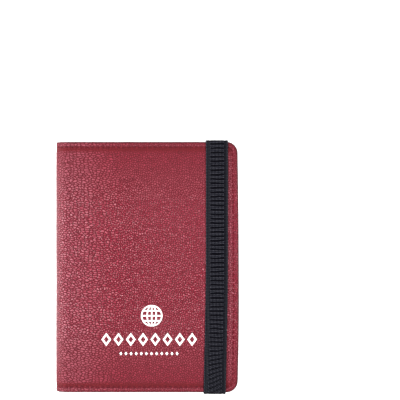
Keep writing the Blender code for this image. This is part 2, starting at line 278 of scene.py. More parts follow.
def leather_material(name, dark, mid, light, grain, relief, is_outer=False):
    """Pebbled leather: rounded cells, a grain apart, parted by dull creases, with painted shade in the
    creases and painted highlights on the pebble tops. On the outer cover they are drawn out near the spine,
    and the seam leaves its dimples, with painted sheen, painted highlights and painted shade."""
    s = Shader(name)
    places = pebble_places(s, s.uv("cloth", 1 / grain), DRAWN_BY if is_outer else 0.0)
    cells = {"Vector": places, "Scale": 1.0, "Randomness": 0.95}
    pebble = s.pebbles(cells, PEBBLE_FLANK)
    grit = s.pebbles({**cells, "Scale": GRIT_SCALE}, GRIT_FLANK)
    tint = s.add("TexVoronoi", cells, feature="F1", voronoi_dimensions="2D").outputs["Color"]
    tint = s.add("SeparateColor", {0: tint}).outputs[0]
    rise = s.ramp(tint, 0, 1, LOWEST_PEBBLE, 1.0, smooth=False)
    fine = s.noise(places, scale=2.6, detail=3.0, roughness=0.65)
    folds = s.noise(places, scale=0.4, detail=3.0, roughness=0.55)
    height = s.plus(s.times(pebble, rise), s.times(grit, GRIT_HEIGHT))
    height = s.plus(height, s.times(fine, FINE_HEIGHT))
    # Where the pebble tops get their painted highlight.
    top_highlight = s.ramp(height, 0.7, 1.25)
    height = s.plus(height, s.times(folds, FOLD_HEIGHT))
    # Painted shade darkens the creases, and a painted highlight lightens the pebble tops.
    color = s.blend(s.ramp(pebble, 0.1, 0.9, smooth=False), dark, mid)
    color = s.blend(top_highlight, color, light, most=0.8)
    gloss = s.ramp(fine, 0.3, 0.7, 0.2, 0.32, smooth=False)
    roughness = s.larger(gloss, s.ramp(pebble, 0.4, 0.8, DULL, 0.2))
    if is_outer:
        color, roughness = painted_sheen_and_shade(s, color, height, roughness)
        color, height, roughness = seam_marks(s, color, height, roughness)
    s.set(Base_Color=color, Roughness=roughness, Normal=s.bump(height, relief))
    s.set(Specular_IOR_Level=0.5, Specular_Tint=rgb(1.0, 0.92, 0.93))
    return s.material


def seam_place(s):
    """Distance along the seam and in from the edge, in millimetres, and 1 along the top and bottom edges,
    falling to 0 round the corner to the fore edge."""
    at, inset = s.split(s.uv("seam", 1 / MM))
    corner_end = FORE_SEAM_START / MM
    return at, inset, s.ramp(at, corner_end - 6, corner_end + 4, 1.0, 0.0)


def painted_sheen_and_shade(s, color, height, roughness):
    """Painted sheen on the pebble tops round the spine, painted highlights on those of the lip and beside
    the fore edge's seam, and painted shade towards the top and bottom, where the leather is also duller."""
    _, inset, on_ends = seam_place(s)
    seam = SEAM_INSET / MM
    tops = s.ramp(height, 0.5, 1.1)
    # Painted highlights: a paler pink on the pebble tops of the lip and of the strip beside the fore edge's
    # seam.
    lip = s.times(s.peak(inset, seam - 0.9, 0.9), on_ends)
    strip = s.times(s.peak(inset, seam + 1.3, 2.4), s.minus(1.0, on_ends))
    seam_highlight = s.times(s.larger(lip, strip), tops)
    # Painted sheen: a paler pink on the pebble tops round the spine.
    from_spine, _ = s.split(s.uv("cloth", 1 / MM))
    round_spine = s.times(s.ramp(from_spine, 2, 8, 0.3, 1.0), s.ramp(from_spine, 8, 42, 1.0, 0.0))
    spine_sheen = s.times(round_spine, tops)
    # Painted shade, darker towards the top and bottom edges, where the leather is also made duller.
    _, up = s.split(s.add("TexCoord").outputs["Object"])
    ends = s.ramp(s.math("ABSOLUTE", up), 20 * MM, HALF_HEIGHT)
    color = s.blend(ends, color, END_SHADE_RED, most=0.3)
    color = s.blend(spine_sheen, color, SPINE_SHEEN_PINK, most=0.3)
    color = s.blend(seam_highlight, color, SEAM_HIGHLIGHT_PINK, most=0.42)
    return color, s.larger(roughness, s.times(ends, DULL))


def seam_marks(s, color, height, roughness):
    """Dimples where the stitches pull the leather in, with painted shade in them, in the pressed groove
    beside them and on the rounded edge.
    """
    at, inset, on_ends = seam_place(s)
    seam = SEAM_INSET / MM
    beat = s.ramp(s.ridges(at, STITCH_PITCH / MM), 0.35, 0.85)
    pinch = s.times(beat, s.peak(inset, seam - 0.1, 1.1))
    # Painted shade in the stitch dimples.
    dimple_shade = s.times(beat, s.peak(inset, seam + 0.1, 0.8))
    # The pressed groove along the top and bottom, where shade is painted and the leather is duller.
    pressed = s.times(s.peak(inset, seam + 1.2, 2.6), on_ends)
    flat = s.times(s.peak(inset, seam + 0.3, 1.2), 0.5)
    # Painted shade on the rounded edge.
    edge = s.ramp(inset, -0.1, 1.4, 0.85, 0.0)
    shade = s.larger(s.times(dimple_shade, 0.9), edge)
    height = s.minus(height, s.times(pinch, 1.6))
    height = s.times(height, s.minus(1.0, flat))
    # Painted shade in the pressed groove.
    color = s.blend(pressed, color, GROOVE_SHADE_RED, most=0.95)
    color = s.blend(shade, color, EDGE_AND_DIMPLE_SHADE_RED)
    return color, height, s.larger(roughness, s.times(s.larger(pressed, shade), DULL))


def woven_material(name, dark, light, pitch):
    """A plain weave of two thread directions."""
    s = Shader(name)
    cloth = s.uv("cloth", 2 * pi / pitch)
    across, along = s.split(cloth)
    weave = s.times(s.math("SINE", across), s.math("SINE", along))
    fuzz = s.noise(cloth, scale=1.7)
    height = s.plus(weave, s.times(fuzz, 0.8))
    color = s.blend(s.ramp(height, -1.0, 1.4), dark, light)
    s.set(Base_Color=color, Roughness=0.8, Normal=s.bump(height, 0.08 * MM))
    s.set(Specular_IOR_Level=0.25, Sheen_Weight=0.05)
    return s.material


def elastic_material():
    """Black elastic webbing: ribs across it, small yarn loops in rows along it, and smooth selvedges. The
    loops get painted highlights, and the gaps between the ribs and the pressed line beside them painted
    shade.
    """
    s = Shader("black_elastic_webbing")
    cloth = s.uv("cloth", 1 / MM)
    across, along = s.split(cloth)
    side = s.math("ABSOLUTE", across)
    rib_end = RIB_HALF_WIDTH / MM
    on_ribs = s.ramp(side, rib_end - 0.3, rib_end, 1.0, 0.0)
    gap = s.times(s.ramp(s.ridges(along, RIB_PITCH / MM), 0.25, 0.7, 1.0, 0.0), on_ribs)
    border = s.peak(side, rib_end + BORDER_OFFSET / MM, 0.35)
    selvedge = s.peak(side, SELVEDGE_OFFSET / MM, 0.75)
    cords = s.math("SINE", s.times(across, 2 * pi * MM / CORD_PITCH))
    loops = s.math("SINE", s.plus(s.times(along, 2 * pi * MM / LOOP_PITCH), s.times(cords, 1.2)))
    yarn = s.times(s.ramp(cords, -0.6, 0.9), s.ramp(loops, -0.7, 0.9))
    fuzz = s.noise(cloth, scale=1.9, detail=4.0, roughness=0.7)
    height = s.plus(s.times(yarn, 0.9), s.times(fuzz, 1.2))
    # The yarn loops' tops are lighter, a painted highlight.
    color = s.blend(s.ramp(height, 0.7, 1.6), rgb(0.002, 0.002, 0.004), rgb(0.082, 0.082, 0.1))
    color = s.blend(selvedge, color, rgb(0.011, 0.0112, 0.0135), most=0.85)
    # Painted shade between the ribs and in the pressed line beside them.
    color = s.blend(s.larger(gap, s.times(border, 0.75)), color, rgb(0.001, 0.001, 0.002), most=0.95)
    s.set(Base_Color=color, Roughness=0.85, Specular_IOR_Level=0.02, Normal=s.bump(height, 0.14 * MM))
    return s.material


def thread_material(name, dark, light):
    """Twisted sewing thread."""
    s = Shader(name)
    across, along = s.split(s.uv("cloth", 2 * pi / TWIST_PITCH))
    twist = s.math("SINE", s.plus(across, along))
    color = s.blend(s.ramp(twist, -1, 1), dark, light)
    s.set(Base_Color=color, Roughness=0.75, Specular_IOR_Level=0.1, Normal=s.bump(twist, 0.02 * MM))
    return s.material


def foil_material():
    """White foil stamped on the leather, thin enough that the grain shows through it."""
    s = Shader("white_foil")
    grain = s.noise(s.uv("cloth", 1 / MM), scale=1.1)
    color = s.blend(s.ramp(grain, 0.3, 0.7), rgb(0.88, 0.87, 0.86), rgb(0.97, 0.96, 0.95))
    s.set(Base_Color=color, Roughness=0.5, Normal=s.bump(grain, 0.05 * MM))
    return s.material


def core_material(name, dark, light, scale, relief):
    """Foam or board: a plain colour broken up by its cells or fibres."""
    s = Shader(name)
    place = s.add("TexCoord").outputs["Object"]
    cells = s.noise(place, scale, detail=4.0, roughness=0.65)
    color = s.blend(s.ramp(cells, 0.3, 0.7), dark, light)
    s.set(Base_Color=color, Roughness=0.92, Normal=s.bump(cells, relief))
    return s.material


def floor_material():
    """A white table that also glows softly, so that shadows on it stay faint."""
    s = Shader("white_table")
    place = s.add("TexCoord").outputs["Object"]
    tint = s.blend(s.noise(place, scale=6.0), rgb(0.93, 0.93, 0.93), rgb(0.96, 0.96, 0.96))
    s.set(Base_Color=tint, Roughness=0.9, Specular_IOR_Level=0.1)
    s.set(Emission_Color=rgb(1, 1, 1), Emission_Strength=0.45)
    return s.material


# In both leathers, dark is painted shade in the creases and light a painted highlight on the pebble tops.
OUTER_LEATHER = leather_material(
    "red_pebbled_leather",
    dark=rgb(0.06, 0.001, 0.005),
    mid=rgb(0.205, 0.0055, 0.0195),
    light=rgb(0.28, 0.025, 0.048),
    grain=1.15 * MM,
    relief=0.42 * MM,
    is_outer=True,
)
POCKET_LEATHER = leather_material(
    "red_pocket_leather",
    dark=rgb(0.06, 0.002, 0.006),
    mid=rgb(0.25, 0.012, 0.03),
    light=rgb(0.34, 0.03, 0.055),
    grain=0.95 * MM,
    relief=0.2 * MM,
)
LINING_CLOTH = woven_material(
    "wine_lining_cloth", dark=rgb(0.035, 0.002, 0.007), light=rgb(0.2, 0.014, 0.032), pitch=0.8 * MM
)
RED_THREAD = thread_material("red_thread", dark=rgb(0.05, 0.001, 0.006), light=rgb(0.2, 0.008, 0.02))
ELASTIC = elastic_material()
WHITE_FOIL = foil_material()
FOAM = core_material(
    "grey_foam",
    dark=rgb(0.36, 0.36, 0.35),
    light=rgb(0.55, 0.55, 0.53),
    scale=1400,
    relief=0.15 * MM,
)
BOARD = core_material(
    "grey_board",
    dark=rgb(0.33, 0.29, 0.24),
    light=rgb(0.5, 0.46, 0.39),
    scale=700,
    relief=0.05 * MM,
)


# ---- the covers' coordinates ----


def smooth(value):
    """0 up to 0, 1 from 1 on, and a smooth step between them."""
    value = np.clip(value, 0, 1)
    return value * value * (3 - 2 * value)


def rounding(distance, radius):
    """How far a rounded rim falls away, by distance from its edge."""
    short = np.clip(radius - distance, 0, radius)
    return radius - np.sqrt(radius**2 - short**2)


def dent(distance, width):
    """A soft groove's profile: 1 in its middle, and 0 well away from it."""
    return np.exp(-((distance / width) ** 2))


def bow(y):
    """How far the fore edge lies inside its straight line."""
    reach = np.where(y > BOW_CENTRE_Y, HALF_HEIGHT - BOW_CENTRE_Y, HALF_HEIGHT + BOW_CENTRE_Y)
    return BOW * ((y - BOW_CENTRE_Y) / reach) ** 2


def surface(side, s, y, depth):
    """Points in the frame, from the cover's own coordinates."""
    s, y, depth = np.broadcast_arrays(s, y, depth)
    angle = np.minimum(s, ARC_LENGTH) / RADIUS
    radius = RADIUS - depth
    flat = np.maximum(s - ARC_LENGTH, 0)
    flat = flat - bow(y) * (flat / (FORE_S - ARC_LENGTH)) ** 2
    x = SPINE_X - radius * np.cos(angle) + flat
    z = RADIUS + side * radius * np.sin(angle)
    return np.stack([x, y, z], -1)


def s_of(x):
    """s of a place on the flat of a cover."""
    return x - SPINE_X + ARC_LENGTH


def straight_inset(s, y):
    """Distance in from the nearest sewn edge, away from the round corners."""
    return np.minimum(HALF_HEIGHT - np.abs(y), FORE_S - s)


def waves(s, y, size, seed):
    """Soft noise from -1 to 1 over the cover, with features about size across."""
    s, y = np.broadcast_arrays(s, y)
    places = zip(s.ravel() / size, y.ravel() / size)
    values = [noise.noise(Vector((a, b, seed))) for a, b in places]
    return np.array(values).reshape(s.shape)


def seam_distance(s, y):
    """Distance along the seam from the middle of the spine, alike for the top half and the bottom half."""
    over_s, over_y = np.maximum(s - CENTRE_S, 0), np.maximum(np.abs(y) - CENTRE_Y, 0)
    turn = np.where(over_s > 0, np.arctan2(over_s, np.maximum(over_y, 1e-9)), 0.0)
    down = CENTRE_Y - np.minimum(np.abs(y), CENTRE_Y)
    along_fore = np.where(FORE_S - s < HALF_HEIGHT - np.abs(y), down, 0.0)
    return np.minimum(s, CENTRE_S) + (CORNER_RADIUS - SEAM_INSET) * turn + along_fore


def face_depth(s, y, inset):
    """Depth of the leather's face: a rounded lip, a pressed seam, and the padded panel that rises from it.
    The lip and the seam fade where they turn round the spine."""
    to_fore, to_end = FORE_S - s, HALF_HEIGHT - np.abs(y)
    at_fore = smooth(0.5 + (to_end - to_fore) / GROOVE_CHANGE)
    groove = GROOVE_DEPTH + (FORE_GROOVE_DEPTH - GROOVE_DEPTH) * at_fore
    lip = LIP_DEPTH + (groove - LIP_DEPTH) * dent(SEAM_INSET - inset, LIP_SLOPE)
    slope = np.clip(1 - (inset - SEAM_INSET) / PANEL_SLOPE, 0, 1)
    panel = groove * slope**PANEL_CURVE - CROWN * smooth((inset - SEAM_INSET) / CROWN_REACH)
    off_spine = PRESSED_AT_SPINE + (1 - PRESSED_AT_SPINE) * smooth(s / ARC_LENGTH)
    pressed = np.where(inset < SEAM_INSET, lip, panel) * off_spine
    rounded = rounding(inset, EDGE_RADIUS) * (ROUNDED_AT_SPINE + (1 - ROUNDED_AT_SPINE) * off_spine)
    broad = WAVE_HEIGHT * waves(s, y, size=26 * MM, seed=3.1)
    fine = RIPPLE_HEIGHT * waves(s, y, size=7 * MM, seed=7.7)
    return pressed + rounded - (broad + fine) * smooth((inset - SEAM_INSET) / WAVE_FADE)


def cover_grid(columns, rows, ring, to_top=True):
    """A grid over a cover whose lines follow its rounded fore corners. columns end, and rows start and end,
    a corner radius inside the edges, and the ring's lines go on from there over the edges, at the top only
    if to_top. Returns s, y, inset, drop and the cloth's flat coordinates."""
    inset, drop = ring
    count = len(inset) - 1
    reach = np.concatenate([[0], np.cumsum(np.hypot(np.diff(inset), np.diff(drop)))])
    out = np.arange(1, count + 1)
    end_y = CENTRE_Y + CORNER_RADIUS - inset[1:]
    flat_end = CENTRE_Y + reach[1:]
    top_out, top_y, top_flat = (out, end_y, flat_end) if to_top else (out[:0], end_y[:0], end_y[:0])
    no_columns, no_rows = np.zeros(len(columns), int), np.zeros(len(rows), int)
    ring_s, ring_y = np.meshgrid(
        np.concatenate([no_columns, out]), np.concatenate([-out[::-1], no_rows, top_out])
    )
    s, y = np.meshgrid(
        np.concatenate([columns, CENTRE_S + CORNER_RADIUS - inset[1:]]),
        np.concatenate([-end_y[::-1], rows, top_y]),
    )
    flat_s, flat_y = np.meshgrid(
        np.concatenate([columns, CENTRE_S + reach[1:]]), np.concatenate([-flat_end[::-1], rows, top_flat])
    )
    up = np.abs(ring_y)
    index = np.maximum(ring_s, up)
    corner = (ring_s > 0) & (up > 0)
    turn = pi / 4 * np.minimum(ring_s, up) / np.maximum(index, 1)
    turn = np.where(up <= ring_s, turn, pi / 2 - turn)
    arc = CORNER_RADIUS - inset[index]
    sign = np.sign(ring_y)
    s = np.where(corner, CENTRE_S + arc * np.cos(turn), s)
    y = np.where(corner, sign * (CENTRE_Y + arc * np.sin(turn)), y)
    flat_s = np.where(corner, CENTRE_S + reach[index] * np.cos(turn), flat_s)
    flat_y = np.where(corner, sign * (CENTRE_Y + reach[index] * np.sin(turn)), flat_y)
    point_inset = np.where(index > 0, inset[index], straight_inset(s, y))
    return s, y, point_inset, drop[index], np.stack([flat_s, flat_y], -1)


def leather_ring():
    """(inset, drop) from the corner's centre out over the seam and the lip, down the side and back in as the
    turned-in hem. drop is how deep the side and the hem lie, and 0 on the face."""
    seam_reach = 1.0 * MM
    wide = np.linspace(CORNER_RADIUS, SEAM_INSET + seam_reach + 0.2 * MM, 6)
    seam = np.linspace(SEAM_INSET + seam_reach, SEAM_INSET - seam_reach, 15)
    lip = EDGE_RADIUS * (1 - np.sin(np.radians(np.linspace(0, 90, 7))))
    face = np.concatenate([wide, seam, lip])
    turn = np.radians([0, 45, 90])
    turned_inset = HEM_TURN * (1 - np.cos(turn))
    turned_drop = HEM_DEPTH - HEM_TURN * (1 - np.sin(turn))
    hem_inset = np.linspace(HEM_START, HEM_WIDTH, 3)
    inset = np.concatenate([face, turned_inset, hem_inset])
    return inset, np.concatenate([0 * face, turned_drop, 0 * hem_inset + HEM_DEPTH])


def panel_ring(edge_inset, rim_radius):
    """(inset, drop) of an inner panel, from the corner's centre out over its seam to its cut edge."""
    seam_reach = 0.75 * MM
    wide = np.linspace(CORNER_RADIUS, SEAM_INSET + seam_reach + 0.15 * MM, 6)
    seam = np.linspace(SEAM_INSET + seam_reach, SEAM_INSET - seam_reach, 9)
    rim = edge_inset + rim_radius * (1 - np.sin(np.radians(np.linspace(0, 90, 4))))
    inset = np.concatenate([wide, seam, rim])
    return inset, 0 * inset


def spread(start, end, spacing):
    """Even steps from start to end, about a spacing apart."""
    return np.linspace(start, end, max(2, round((end - start) / spacing) + 1))


LEATHER_SPACING = 1.3 * MM
LINING_SPACING = 2.0 * MM
COVER_ROWS = spread(-CENTRE_Y, CENTRE_Y, LEATHER_SPACING)


def cover_columns(spacing):
    """Columns from the middle of the spine to the corners' centres, close together round the arc."""
    arc = np.linspace(0, ARC_LENGTH, 24)[:-1]
    return np.concatenate([arc, spread(ARC_LENGTH, CENTRE_S, spacing)])


# ---- meshes ----


def add_object(name, mesh, material):
    mesh.materials.append(material)
    obj = bpy.data.objects.new(name, mesh)
    bpy.context.scene.collection.objects.link(obj)
    return obj


def sheet_mesh(name, points, flip, **layers):
    """A mesh of quads from a grid of points, with named layers of coordinates as its UVs."""
    rows, columns = points.shape[:2]
    index = np.arange(rows * columns).reshape(rows, columns)
    quads = np.stack([index[:-1, :-1], index[:-1, 1:], index[1:, 1:], index[1:, :-1]], -1).reshape(-1, 4)
    if flip:
        quads = quads[:, ::-1]
    mesh = bpy.data.meshes.new(name)
    mesh.from_pydata(points.reshape(-1, 3).tolist(), [], quads.tolist())
    for layer_name, values in layers.items():
        layer = mesh.uv_layers.new(name=layer_name)
        layer.data.foreach_set("uv", values.reshape(-1, 2)[quads.ravel()].ravel())
    return mesh


def thicken(obj, thickness):
    """Gives a sheet its thickness, on the side away from its normals, and smooths its shading."""
    step = obj.modifiers.new("thickness", "SOLIDIFY")
    step.thickness = thickness
    step.offset = -1
    graph = bpy.context.evaluated_depsgraph_get()
    mesh = bpy.data.meshes.new_from_object(
        obj.evaluated_get(graph), preserve_all_data_layers=True, depsgraph=graph
    )
    obj.modifiers.clear()
    obj.data = mesh
    mesh.shade_smooth()
    mesh.set_sharp_from_angle(angle=radians(50))


def strands_mesh(name, strands, material, sides=8):
    """Many short closed tubes as one mesh. A strand is (points, radii, up directions)."""
    vertices, faces, cloth = [], [], []
    turn = np.linspace(0, 2 * pi, sides, endpoint=False)
    for points, radii, ups in strands:
        along = np.gradient(points, axis=0)
        across = np.cross(along, ups)
        across /= np.linalg.norm(across, axis=1, keepdims=True)
        over = np.cross(across, along)
        over /= np.linalg.norm(over, axis=1, keepdims=True)
        first, count = len(vertices), len(points)
        for i in range(count):
            ring = np.outer(np.cos(turn), across[i]) + np.outer(np.sin(turn), over[i])
            vertices.extend((points[i] + radii[i] * ring).tolist())
            cloth.extend([(points[i][0] + THREAD_RADIUS * t, points[i][1]) for t in turn])
        for i in range(count - 1):
            for j in range(sides):
                a, b = first + i * sides + j, first + i * sides + (j + 1) % sides
                faces.append((a, b, b + sides, a + sides))
        faces.append(tuple(first + j for j in reversed(range(sides))))
        faces.append(tuple(first + (count - 1) * sides + j for j in range(sides)))
    mesh = bpy.data.meshes.new(name)
    mesh.from_pydata(vertices, [], faces)
    layer = mesh.uv_layers.new(name="cloth")
    corners = np.empty(len(mesh.loops), int)
    mesh.loops.foreach_get("vertex_index", corners)
    layer.data.foreach_set("uv", np.array(cloth)[corners].ravel())
    mesh.shade_smooth()
    return add_object(name, mesh, material)


def bend_at_spine(piece, side):
    """Bakes a piece's transform into its mesh, alike for either side."""
    if side > 0:
        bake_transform(piece)
    else:
        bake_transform(piece)


# ---- leather covers ----

# The back's grain is read this far from the front's, so that the two don't match.
BACK_GRAIN_SHIFT = 0.4


def cover_leather(name, side, nodes):
    """The outer leather from the middle of the spine to its turned-in hem."""
    s, y, inset, drop, cloth = cover_grid(cover_columns(LEATHER_SPACING), COVER_ROWS, leather_ring())
    depth = np.where(drop > 0, drop, face_depth(s, y, inset))
    seam_inset = np.where(drop > 0, -drop, inset)
    seam = np.stack([seam_distance(s, y), seam_inset], -1)
    points = surface(side, s, y, depth)
    cloth = cloth * (1, side) + (0, 0 if side > 0 else BACK_GRAIN_SHIFT)
    mesh = sheet_mesh(name, points, side < 0, cloth=cloth, seam=seam)
    leather = add_object(name, mesh, OUTER_LEATHER)
    thicken(leather, LEATHER_THICKNESS)
    bend_at_spine(leather, side)
    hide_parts(*nodes)


# ---- stitches ----


def seam_path():
    """Points of the seam in s and y, from the spine along the top, down the fore edge and back along the
    bottom, to the spine."""
    radius = CORNER_RADIUS - SEAM_INSET
    turn = np.linspace(pi / 2, 0, 24)
    straight = np.linspace(0, CENTRE_S, 160)[:-1]
    s = np.concatenate([straight, CENTRE_S + radius * np.cos(turn)])
    y = np.concatenate([np.full(len(straight), HALF_HEIGHT - SEAM_INSET), CENTRE_Y + radius * np.sin(turn)])
    return np.concatenate([s, s[::-1]]), np.concatenate([y, -y[::-1]])


def stitches(side, path, depth_of, outward):
    """Stitches along a path in s and y, each dipping into the needle holes at its ends. outward is 1 where
    the thread stands on the cover's outside and -1 on its inside."""
    path_s, path_y = path
    length = np.concatenate([[0], np.cumsum(np.hypot(np.diff(path_s), np.diff(path_y)))])
    holes = np.linspace(0, length[-1], 2 * round(length[-1] / STITCH_PITCH / 2) + 1)
    share = np.linspace(-1, 1, 7)
    radii = THREAD_RADIUS * np.sqrt(1 - 0.7 * share**2)
    made = []
    for start, end in zip(holes[:-1], holes[1:]):
        at = (start + end) / 2 + share * ((end - start) / 2 - STITCH_GAP)
        s, y = np.interp(at, length, path_s), np.interp(at, length, path_y)
        depth = depth_of(s, y) + outward * (STITCH_DIP * share**4 - STITCH_LIFT)
        points = surface(side, s, y, depth)
        ups = surface(side, s, y, depth - outward * MM) - points
        made.append((points, radii, ups))
    return made


def outer_seam(name, side, nodes):
    """The seam's stitches as they show on the cover's outside, down in the pressed groove."""
    def seam_floor(s, y):
        return face_depth(s, y, np.full(s.shape, SEAM_INSET))

    threads = strands_mesh(name, stitches(side, seam_path(), seam_floor, 1), RED_THREAD)
    bend_at_spine(threads, side)
    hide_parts(*nodes)


# ---- linings and pockets ----


def lining_depth(s, inset):
    rise = (LINING_DEPTH - LINING_SPINE_DEPTH) * smooth((s - LINING_SPINE_END) / LINING_SLOPE)
    return LINING_SPINE_DEPTH + rise - rounding(inset - LINING_INSET, LINING_RIM)


def lining(name, side, nodes):
    """The lining cloth from the middle of the spine to the sewn edges."""
    ring = panel_ring(LINING_INSET, LINING_RIM)
    s, y, inset, _, cloth = cover_grid(cover_columns(LINING_SPACING), COVER_ROWS[::2], ring)
    points = surface(side, s, y, lining_depth(s, inset))
    made = add_object(name, sheet_mesh(name, points, side > 0, cloth=cloth), LINING_CLOTH)
    thicken(made, LINING_THICKNESS)
    bend_at_spine(made, side)
    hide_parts(*nodes)


class Panel:
    """A sleeve or pocket sewn down round the cover's edge, with one edge turned in and left free: the edge
    nearest the spine, or the top edge of a card pocket. edge_drop is how far its sewn edges are pressed
    down."""

    HEM = 6.2 * MM
    HEM_RISE = 0.1 * MM
    HEM_STEP = 0.5 * MM
    LINE = 2.1 * MM
    LINE_DEPTH = 0.12 * MM
    LINE_WIDTH = 0.3 * MM
    SIDE_LINE_DEPTH = 0.1 * MM
    SEAM_DEPTH = 0.15 * MM
    SEAM_WIDTH = 0.4 * MM
    PRESS_REACH = 6.0 * MM
    SIDE_REACH = 5.0 * MM
    WAVE = 0.05 * MM

    # The grid's lines from the free edge in, in mm: close together over the rim, the stitches and the hem.
    CLOSE_LINES = (0, 0.08, 0.25, 0.6, 1.2, 1.8, 2.1, 2.4, 3.0, 4.4, 5.6, 5.9, 6.2, 6.6)
    SPACING = 1.8 * MM

    def __init__(self, node, side, edge_drop, is_card_pocket=False):
        low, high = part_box(node)
        self.node, self.side, self.edge_drop = node, side, edge_drop
        self.start = s_of(low.x)
        self.face = TOP - low.z if side > 0 else high.z - self.HEM_RISE
        self.top = high.y if is_card_pocket else None

    def free(self, s, y):
        """Distance from the free edge."""
        return s - self.start if self.top is None else self.top - y

    def depth(self, s, y, inset):
        """Depth of the panel's face, pressed down at its seam, its rims and its stitched line."""
        free = self.free(s, y)
        press = self.edge_drop * smooth((SEAM_INSET + self.PRESS_REACH - inset) / self.PRESS_REACH)
        press = press + self.SEAM_DEPTH * dent(inset - SEAM_INSET, self.SEAM_WIDTH)
        press = press + rounding(inset - POCKET_INSET, POCKET_RIM) + rounding(free, POCKET_RIM)
        press = press - self.HEM_RISE * smooth((self.HEM - free) / self.HEM_STEP)
        press = press + self.LINE_DEPTH * dent(free - self.LINE, self.LINE_WIDTH)
        if self.top is not None:
            side_edge = s - self.start
            press = press + self.edge_drop * smooth(1 - side_edge / self.SIDE_REACH) * 0.8
            press = press + self.SIDE_LINE_DEPTH * dent(side_edge - self.LINE, self.LINE_WIDTH)
            press = press + rounding(side_edge, POCKET_RIM)
        return self.face - press + self.WAVE * waves(s, y, size=22 * MM, seed=5 + self.face / MM)

    def covers(self, s, y):
        """Whether the panel lies over a place on the cover."""
        return (s > self.start) & (True if self.top is None else y < self.top)

    def build(self):
        close = np.array(self.CLOSE_LINES) * MM
        lead = self.start + close
        columns = np.concatenate([lead[:-1], spread(lead[-1], CENTRE_S, self.SPACING)])
        rows = COVER_ROWS[::2]
        if self.top is not None:
            hem = (self.top - close)[::-1]
            rows = np.concatenate([spread(-CENTRE_Y, hem[0], self.SPACING)[:-1], hem])
        ring = panel_ring(POCKET_INSET, POCKET_RIM)
        s, y, inset, _, cloth = cover_grid(columns, rows, ring, to_top=self.top is None)
        points = surface(self.side, s, y, self.depth(s, y, inset))
        name = self.node + "_panel"
        made = add_object(name, sheet_mesh(name, points, self.side > 0, cloth=cloth), POCKET_LEATHER)
        thicken(made, POCKET_THICKNESS)
        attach(made, "front" if self.side > 0 else "back")
        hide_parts(self.node)

    def seams(self):
        """The stitched line along the free edge."""
        reach = HALF_HEIGHT - SEAM_INSET
        if self.top is None:
            ends_s, ends_y = (self.start + self.LINE,) * 2, (-reach, reach)
        else:
            ends_s, ends_y = (self.start + self.LINE, FORE_S - SEAM_INSET), (self.top - self.LINE,) * 2
        path = (np.linspace(*ends_s, 80), np.linspace(*ends_y, 80))
        return stitches(self.side, path, lambda s, y: self.depth(s, y, straight_inset(s, y)), -1)


def stack_depth(panels, s, y, inset):
    """Depth of the inside's face, over the lining and whatever panels lie on it."""
    depth = lining_depth(s, inset)
    for panel in panels:
        depth = np.where(panel.covers(s, y), np.maximum(depth, panel.depth(s, y, inset)), depth)
    return depth


def inner_seam(name, side, panels):
    """The same seam's stitches on the inside, over the lining and the panels."""
    def seam_face(s, y):
        return stack_depth(panels, s, y, np.full(s.shape, SEAM_INSET))

    threads = strands_mesh(name, stitches(side, seam_path(), seam_face, -1), RED_THREAD)
    bend_at_spine(threads, side)


def build_inside():
    lining("front_lining_cloth", 1, ["front_lining", "spine_lining"])
    lining("back_lining_cloth", -1, ["back_lining"])
    front = [Panel("boarding_pass_pocket", 1, edge_drop=0.35 * MM)]
    for i in range(3):
        drop = (0.45 + 0.1 * i) * MM
        front.append(Panel(f"card_pocket_{i + 1}", 1, edge_drop=drop, is_card_pocket=True))
    back = [Panel("passport_sleeve", -1, edge_drop=0.9 * MM)]
    for name, side, panels in (("front", 1, front), ("back", -1, back)):
        for panel in panels:
            panel.build()
        inner_seam(f"{name}_inner_stitches", side, panels)
        strands = [strand for panel in panels for strand in panel.seams()]
        threads = strands_mesh(f"{name}_pocket_stitches", strands, RED_THREAD)
        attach(threads, name)


# ---- elastic band ----

BAND_CENTRE_X = (BAND_LOW.x + BAND_HIGH.x) / 2 - 0.3 * MM
BAND_HALF_WIDTH = (BAND_HIGH.x - BAND_LOW.x) / 2 + 0.28 * MM
BAND_HALF_THICKNESS = 0.38 * MM
BAND_BEND = 1.2 * MM
BAND_LOWER_BEND = 0.7 * MM
BEND_POINTS = 12
BAND_RUN_Y = BAND_HIGH.y

# The band wavers a little, and below LEAN_START it leans towards the spine, more and more.
BAND_WAVER = 0.12 * MM
BAND_LEAN = 1.35 * MM
LEAN_START = 15 * MM
LEAN_REACH = 84 * MM
LEAN_CURVE = 1.8

# Its ribs waver too, slant below SKEW_START, and fade out this far from its sewn ends.
RIB_WAVER = 0.4 * MM
RIB_SKEW = 0.4
SKEW_START = -38 * MM
SKEW_REACH = 32 * MM
RIBS_END = 19 * MM
RIBS_FADE = 3 * MM


def band_path():
    """The band's middle line, as y, z and the distance along it, from y = 0 over the front cover, round its
    edge, down the side and into the back's seam."""
    top_z = BAND_LOW.z + BAND_HALF_THICKNESS + 0.12 * MM
    leg_y = (BAND_END_HIGH.y + HALF_HEIGHT) / 2 + 0.1 * MM
    seam_z = BAND_END_LOW.z + BAND_HALF_THICKNESS + 0.02 * MM
    turn = np.linspace(0, pi / 2, BEND_POINTS)
    over_y = leg_y - BAND_BEND + BAND_BEND * np.sin(turn)
    over_z = top_z - BAND_BEND + BAND_BEND * np.cos(turn)
    in_y = leg_y - BAND_LOWER_BEND + BAND_LOWER_BEND * np.cos(turn)
    in_z = seam_z + BAND_LOWER_BEND - BAND_LOWER_BEND * np.sin(turn)
    y = np.concatenate([[0.0], over_y, in_y, [BAND_END_LOW.y]])
    z = np.concatenate([[top_z], over_z, in_z, [seam_z]])
    length = np.concatenate([[0], np.cumsum(np.hypot(np.diff(y), np.diff(z)))])
    return y, z, length


PATH_Y, PATH_Z, PATH_LENGTH = band_path()


